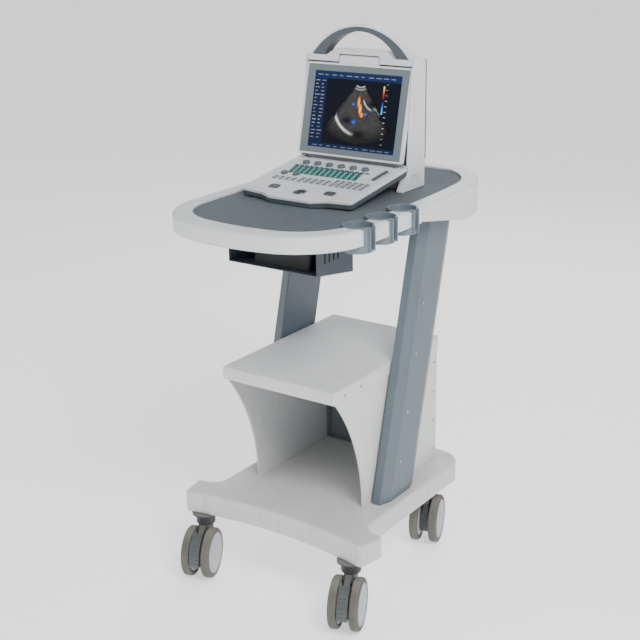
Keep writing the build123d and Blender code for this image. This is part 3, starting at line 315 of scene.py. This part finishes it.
paddles = Shape()
for index in range(6):
    cx = -18.0 + (index - 2.5) * 34.6
    profile = [(9.1, 3.9), (9.1, 9.4), (8.9, 11.2), (8.3, 12.6), (7.4, 13.3), (6.0, 13.5),
               (3.6, 13.1), (1.2, 12.9)]
    paddles.stack([circle(r, z, 40, cx, -31.0) for r, z in profile])
    paddles.block((cx - 0.7, cx + 0.7), (-31 + 2.0, -31 + 6.6), (13.0, 13.5), 1)
paddles.build("paddle_key_caps", KEY_FRAME, [KNOB, WHITE], "paddle_keys", ["paddle_keys"], "keys_grey")

for name, cx in (("left", -79.0), ("right", 79.0)):
    button = Shape()
    key_cap(button, cx, -199.0, 27.0, 21.0, 3.0, 10.0, 6.5, dish=0.6)
    button.build(f"{name}_button_cap", KEY_FRAME, [KEY_DARK], f"{name}_button", [f"{name}_button"], "keys_grey")

KNOB_RIBS = 28
KNOB_Y = -112.0
# the knob's profile: radius, height, rib depth
KNOB_PROFILE = ((3.6, 2.1, 0), (3.6, 7.0, 0), (8.4, 7.1, 0), (8.9, 7.6, 0.0), (8.9, 8.2, 0.5), (8.8, 11.0, 0.5),
                (8.4, 11.8, 0.2), (7.4, 12.15, 0), (5.2, 12.1, 0), (4.6, 11.7, 0), (1.0, 11.6, 0))


def ribbed_ring(r, z, depth, cx):
    """A ring of the knob's side, with ribs cut to the given depth."""
    count = KNOB_RIBS * 6
    points = []
    for a in [2 * pi * i / count for i in range(count)]:
        reach = r - depth * (0.5 + 0.5 * cos(KNOB_RIBS * a))
        points.append((reach * cos(a) + cx, reach * sin(a) + KNOB_Y, z))
    return points


for name, cx in (("gain", -113.0), ("depth", -78.0)):
    knob = Shape()
    knob.stack([ribbed_ring(r, z, depth, cx) for r, z, depth in KNOB_PROFILE])
    knob.block((cx - 0.5, cx + 0.5), (KNOB_Y + 5.0, KNOB_Y + 8.0), (11.9, 12.2), 1)
    knob.build(f"{name}_knob_cap", KEY_FRAME, [KNOB, WHITE], f"{name}_knob", [f"{name}_knob"], "keys_grey")

sliders = Shape()
for row in range(8):
    cy = -56.0 + (row - 3.5) * 8.4
    sliders.block((122.5, 127.5), (cy - 1.0, cy + 1.0), (3.0, 7.5))
    sliders.stack([rounded(9.6, 6.4, 1.6, 6.95, 125.0, cy), rounded(9.6, 6.4, 1.6, 8.6, 125.0, cy),
                   rounded(7.4, 5.2, 1.4, 10.1, 125.0, cy), rounded(6.0, 4.2, 1.2, 10.5, 125.0, cy),
                   rounded(2.4, 3.4, 0.8, 9.9, 125.0, cy)])
sliders.build("gain_slider_caps", KEY_FRAME, [KEY_DARK], "tgc_sliders", ["tgc_sliders"], "keys_teal")

ball = Shape()
ball_rings = []
for step in range(1, 24):
    a = -pi / 2 + pi * step / 24
    ball_rings.append(circle(11.0 * cos(a), 1.2 + 11.0 * sin(a), 48, 3.0, -211.0))
ball.stack(ball_rings)
ball.build("trackball_sphere", KEY_FRAME, [BALL], "trackball", ["trackball"], "ball_dark", smooth=60)

ring = Shape()
ring_profile = [(11.1, 4.2), (11.1, 7.0), (12.0, 7.9), (13.4, 8.4), (15.2, 8.3), (16.4, 7.8),
                (16.9, 7.0), (16.9, 4.2)]
ring_rings = [circle(r, z, 64, 3.0, -211.0) for r, z in ring_profile]
ring.stack(ring_rings + [ring_rings[0]], close_first=False, close_last=False)
ring.build("trackball_collar", KEY_FRAME, [BEZEL], "keyboard", ["trackball_ring"], "light_plastic")

# ---- screen picture --------------------------------------------------------------
LCD_LEFT, LCD_LOW, LCD_W, LCD_H = -124.5, 20.0, 249.0, 185.0


def paint_box(picture, u, v, box, colour):
    """Fills a rectangle given as fractions of the picture's width and height."""
    inside = (u >= box[0]) & (u <= box[1]) & (v >= box[2]) & (v <= box[3])
    picture[inside] = colour


# bright echoes: centre, radius, first and last bearing, width, gain
ECHOES = ((0.0, -0.05, 0.15, -0.7, 0.7, 0.012, 0.6), (0.0, -0.05, 0.19, -0.6, 0.6, 0.008, 0.35),
          (0.02, 0.33, 0.40, -1.75, -0.1, 0.016, 1.1), (0.26, 0.20, 0.20, -1.3, -0.2, 0.009, 0.8),
          (0.20, 0.52, 0.16, 1.9, 3.0, 0.012, 0.7))
# dark hollows: centre and half sizes
HOLLOWS = ((0.20, 0.32, 0.07, 0.04), (-0.16, 0.55, 0.08, 0.05), (0.05, 0.72, 0.10, 0.06))
# flow patches: centre and half sizes, edge colour, middle colour
FLOW = (((0.0, 0.30, 0.022, 0.075), (0.60, 0.03, 0.01), (0.95, 0.45, 0.03)),
        ((0.03, 0.39, 0.024, 0.070), (0.65, 0.04, 0.01), (0.95, 0.60, 0.05)),
        ((0.06, 0.46, 0.030, 0.035), (0.60, 0.03, 0.01), (0.90, 0.35, 0.03)),
        ((-0.08, 0.33, 0.040, 0.014), (0.01, 0.03, 0.30), (0.02, 0.10, 0.60)),
        ((-0.05, 0.56, 0.040, 0.026), (0.01, 0.03, 0.30), (0.02, 0.10, 0.60)),
        ((0.12, 0.45, 0.020, 0.020), (0.01, 0.03, 0.30), (0.02, 0.15, 0.70)))


def scan_picture(columns, rows):
    """An invented scan: menus as dashes, a grey sector with echoes and flow patches, a colour scale."""
    rng = np.random.default_rng(7)
    u, v = np.meshgrid((np.arange(columns) + 0.5) / columns, (np.arange(rows) + 0.5) / rows)
    picture = np.zeros((rows, columns, 3)) + np.array((0.004, 0.005, 0.010))
    paint_box(picture, u, v, (0, 1, 0.91, 1), (0.008, 0.02, 0.07))
    paint_box(picture, u, v, (0, 1, 0, 0.055), (0.006, 0.014, 0.05))
    paint_box(picture, u, v, (0, 0.15, 0.055, 0.91), (0.006, 0.012, 0.045))
    for line in range(17):
        level = 0.87 - line * 0.047
        for start in (0.018, 0.085):
            length = 0.02 + 0.035 * rng.random()
            tone = 0.22 + 0.25 * rng.random()
            paint_box(picture, u, v, (start, start + length, level, level + 0.012),
                      (tone * 0.6, tone * 0.6, tone * 0.65))
    for start in np.arange(0.03, 0.93, 0.085):
        length = 0.03 + 0.035 * rng.random()
        paint_box(picture, u, v, (start, start + length, 0.948, 0.960), (0.18, 0.20, 0.24))
        paint_box(picture, u, v, (start + 0.02, start + 0.02 + length, 0.02, 0.030), (0.12, 0.14, 0.18))
    dx, dy = (u - 0.545) * LCD_W / LCD_H, 0.93 - v
    radius, angle = np.sqrt(dx ** 2 + dy ** 2), np.arctan2(dx, dy)
    wander = 0.04 * np.sin(radius * 19) + 0.03 * np.sin(radius * 47 + 1)
    sector = (radius > 0.10) & (radius < 0.85 + wander) & (np.abs(angle) < 0.66 + wander)
    speckle = rng.random((rows, columns)) ** 2.2
    shade = 0.012 + 0.09 * speckle
    for ox, oy, arc_r, lo, hi, wide, gain in ECHOES:
        reach, bearing = np.hypot(dx - ox, dy - oy), np.arctan2(dx - ox, dy - oy)
        along = np.clip((bearing - lo) / 0.25, 0, 1) * np.clip((hi - bearing) / 0.25, 0, 1)
        shade += gain * along * np.exp(-((reach - arc_r) / wide) ** 2) * (0.5 + 0.5 * speckle)
    for ox, oy, rx, ry in HOLLOWS:
        shade *= 1 - 0.85 * np.exp(-(((dx - ox) / rx) ** 2 + ((dy - oy) / ry) ** 2))
    shade *= np.clip((0.70 - np.abs(angle)) / 0.16, 0, 1) * np.clip((0.90 - radius) / 0.25, 0, 1)
    picture[sector] = np.repeat(np.clip(shade, 0, 1)[..., None], 3, 2)[sector]
    flow = (rng.random((rows, columns)) - 0.5) * 0.3
    for (ox, oy, rx, ry), deep, bright in FLOW:
        spread = ((dx - ox) / rx) ** 2 + ((dy - oy) / ry) ** 2 + flow
        blend = np.clip(1 - spread, 0, 1)[..., None]
        colour = np.array(deep) * (1 - blend) + np.array(bright) * blend
        picture[(spread < 1) & sector] = colour[(spread < 1) & sector]
    bar = (u > 0.805) & (u < 0.822) & (v > 0.50) & (v < 0.86)
    stops = [(0.0, (0.05, 0.65, 0.75)), (0.3, (0.02, 0.06, 0.6)), (0.48, (0, 0, 0.02)),
             (0.52, (0.05, 0, 0)), (0.75, (0.7, 0.03, 0.01)), (1.0, (0.9, 0.8, 0.1))]
    height = (v - 0.50) / 0.36
    for channel in range(3):
        picture[..., channel][bar] = np.interp(height, [s[0] for s in stops], [s[1][channel] for s in stops])[bar]
    for tick in range(12):
        level = 0.88 - tick * 0.07
        paint_box(picture, u, v, (0.835, 0.860, level, level + 0.006), (0.4, 0.45, 0.4))
    return picture


def display():
    """The lit picture as a fine grid that carries its colours."""
    columns, rows = 360, 270
    xs = (LCD_LEFT + np.arange(columns + 1) * LCD_W / columns) * MM
    ys = (LCD_LOW + np.arange(rows + 1) * LCD_H / rows) * MM
    gx, gy = np.meshgrid(xs, ys)
    verts = np.stack([gx.ravel(), gy.ravel(), np.full(gx.size, -2.9 * MM)], 1)
    index = np.arange((rows + 1) * (columns + 1)).reshape(rows + 1, columns + 1)
    faces = np.stack([index[:-1, :-1], index[:-1, 1:], index[1:, 1:], index[1:, :-1]], -1).reshape(-1, 4)
    mesh = bpy.data.meshes.new("scan_picture")
    mesh.from_pydata(verts.tolist(), [], faces.tolist())
    colours = mesh.color_attributes.new("picture", "FLOAT_COLOR", "CORNER")
    rgba = np.ones((rows * columns, 4, 4), np.float32)
    rgba[..., :3] = scan_picture(columns, rows).reshape(-1, 1, 3)
    colours.data.foreach_set("color", rgba.ravel())
    mesh.transform(SCREEN_FRAME)
    material = bpy.data.materials.new("display_light")
    material.use_nodes = True
    tree = material.node_tree
    shader = tree.nodes["Principled BSDF"]
    paint = tree.nodes.new("ShaderNodeVertexColor")
    paint.layer_name = "picture"
    tree.links.new(paint.outputs["Color"], shader.inputs["Emission Color"])
    tree.links.new(mixed(tree, 0.5, paint.outputs["Color"], (0.004, 0.004, 0.006, 1)), shader.inputs["Base Color"])
    shader.inputs["Emission Strength"].default_value = 0.9
    shader.inputs["Roughness"].default_value = 0.35
    shader.inputs["Specular IOR Level"].default_value = 0.04
    mesh.materials.append(material)
    piece = bpy.data.objects.new("scan_picture", mesh)
    bpy.context.scene.collection.objects.link(piece)
    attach(piece, "screen")


display()

# ---- casters ---------------------------------------------------------------------
CASTERS = {"fl": (-219.0, -268.0, 21.0), "fr": (219.0, -268.0, 21.0),
           "rl": (-160.0, 201.0, 18.0), "rr": (160.0, 201.0, 18.0)}


def wheel_shape():
    """Tread, tyre shoulder, dished disc, hub ring and cap; local Z points outwards."""
    shape = Shape()
    count = 120
    tread = [(50.05, 2.9), (53.0, 0.8), (56.0, 0.1), (59.0, 0.9), (61.3, 2.9), (62.4, 6.0), (62.5, 9.0),
             (62.0, 9.6), (62.0, 10.4), (62.5, 11.0), (62.5, 13.0), (62.0, 13.6), (62.0, 14.4), (62.5, 15.0), (62.4, 18.0),
             (61.0, 20.6), (58.8, 22.3), (55.8, 23.1), (53.4, 22.9), (51.2, 22.6), (50.05, 22.3)]
    rings = [circle(r, z, count) for r, z in tread]
    shape.stack(rings + [rings[0]], 0, False, False)
    disc = [(6.1, 0.6), (12.0, 0.6), (46.0, 0.6), (49.95, 3.2), (49.95, 22.4), (49.2, 22.7),
            (47.6, 22.4), (46.8, 21.4), (44.0, 21.2), (40.0, 21.8), (30.0, 22.6), (21.0, 23.2),
            (20.2, 22.4), (18.4, 22.4), (17.8, 23.6), (16.0, 24.3), (12.0, 24.7), (6.0, 24.8), (1.0, 24.8)]
    shape.stack([circle(r, z, count) for r, z in disc[:4]], 1, False, False)
    shape.stack([circle(r, z, count) for r, z in disc[3:]], 1, False, True)
    return shape


for name, (x, y, turn) in CASTERS.items():
    along = Vector((cos(radians(turn)), sin(radians(turn)), 0))
    forward = Vector((sin(radians(turn)), -cos(radians(turn)), 0))
    for side, end in (("left", -1), ("right", 1)):
        centre = Vector((x, y, 62.5)) * MM + forward * 40 * MM + along * end * 13.5 * MM
        outwards, upwards = along * end, Vector((0, 0, 1))
        turned = Matrix((upwards, outwards.cross(upwards), outwards)).transposed().to_4x4()
        turned.translation = centre
        node_name = f"caster_{name}_wheel_{side}"
        wheel_shape().build(f"{node_name}_tyre", turned, [TYRE, DISC], node_name, [node_name],
                            "wheel_core", smooth=40)

# ---- screws ----------------------------------------------------------------------
screws = Shape()
SCREW_PROFILE = [(4.0, 0.0), (4.0, 0.5), (3.7, 1.1), (2.9, 1.6), (1.6, 1.8), (0.4, 1.8)]
SIDE_OUT, CAB_HALF = 160.0, 162.4
spots = []
for side in (-1, 1):
    spots += [((side * CAB_HALF, y, 530), side) for y in (-205, -138)]
    spots += [((side * SIDE_OUT, 208, z), side) for z in (240, 320, 400, 480)]
    spots += [((side * 199, -40 + (z - 209.5) * 0.262, z), side) for z in (300, 420, 560, 680)]
for (x, y, z), side in spots:
    screws.stack([[(x + side * h, y + r * cos(2 * pi * i / 24), z + side * r * sin(2 * pi * i / 24))
                   for i in range(24)] for r, h in SCREW_PROFILE])
    # the cross recess is two thin black boxes laid across the head: painted shade standing in for the depth of the
    # recess
    for long_y, long_z in ((2.2, 0.45), (0.45, 2.2)):
        lo, hi = sorted((x + side * 1.2, x + side * 1.85))
        screws.block((lo, hi), (y - long_y, y + long_y), (z - long_z, z + long_z), 1)
screws.build("panel_screw_heads", Matrix.Identity(4), [STEEL, BLACK], "trolley", ["panel_screws"], "screw_steel")

# ---- camera, light, floor --------------------------------------------------------
YAW, PITCH, ROLL = radians(35.144), radians(18.699), radians(-0.828)
forward = Vector((-sin(YAW) * cos(PITCH), cos(YAW) * cos(PITCH), -sin(PITCH)))
right = Vector((cos(YAW), sin(YAW), 0))
up = right.cross(forward)
rolled_right = right * cos(ROLL) + up * sin(ROLL)
rolled_up = up * cos(ROLL) - right * sin(ROLL)
camera = bpy.data.objects.new("camera", bpy.data.cameras.new("camera"))
camera.data.lens = 70.48
camera.data.sensor_width = 36.0
camera.data.clip_end = 50
place = Matrix((rolled_right, rolled_up, -forward)).transposed().to_4x4()
place.translation = Vector((1.6498, -2.4121, 1.6138))
camera.matrix_world = place
bpy.context.scene.collection.objects.link(camera)
bpy.context.scene.camera = camera


def area_light(name, at, target, size, power, colour=(1, 1, 1)):
    """A soft square light aimed at a point."""
    light = bpy.data.lights.new(name, "AREA")
    light.size = size
    light.energy = power
    light.color = colour
    lamp = bpy.data.objects.new(name, light)
    lamp.location = at
    lamp.rotation_euler = (Vector(target) - Vector(at)).to_track_quat("-Z", "Y").to_euler()
    bpy.context.scene.collection.objects.link(lamp)


area_light("key", (2.6, -1.6, 3.2), (0, 0, 0.7), 1.8, 150, (1.0, 0.998, 0.99))
area_light("fill", (-2.8, -2.6, 1.9), (0, 0, 0.6), 2.6, 38, (0.95, 0.97, 1.0))
area_light("back", (-0.8, 3.0, 2.6), (0, 0, 0.8), 2.0, 45)

world = bpy.data.worlds.new("studio")
world.use_nodes = True
world.node_tree.nodes["Background"].inputs["Color"].default_value = (0.97, 0.98, 1.0, 1)
world.node_tree.nodes["Background"].inputs["Strength"].default_value = 0.6
bpy.context.scene.world = world

floor_mesh = bpy.data.meshes.new("floor")
floor_mesh.from_pydata([(-60, -60, 0), (60, -60, 0), (60, 60, 0), (-60, 60, 0)], [], [(0, 1, 2, 3)])
floor_material = bpy.data.materials.new("floor_white")
floor_material.use_nodes = True
floor_shader = floor_material.node_tree.nodes["Principled BSDF"]
floor_shader.inputs["Base Color"].default_value = (0.95, 0.95, 0.95, 1)
floor_shader.inputs["Roughness"].default_value = 0.6
floor_shader.inputs["Emission Color"].default_value = (1, 1, 1, 1)
floor_shader.inputs["Emission Strength"].default_value = 0.7
floor_mesh.materials.append(floor_material)
floor = bpy.data.objects.new("floor", floor_mesh)
bpy.context.scene.collection.objects.link(floor)
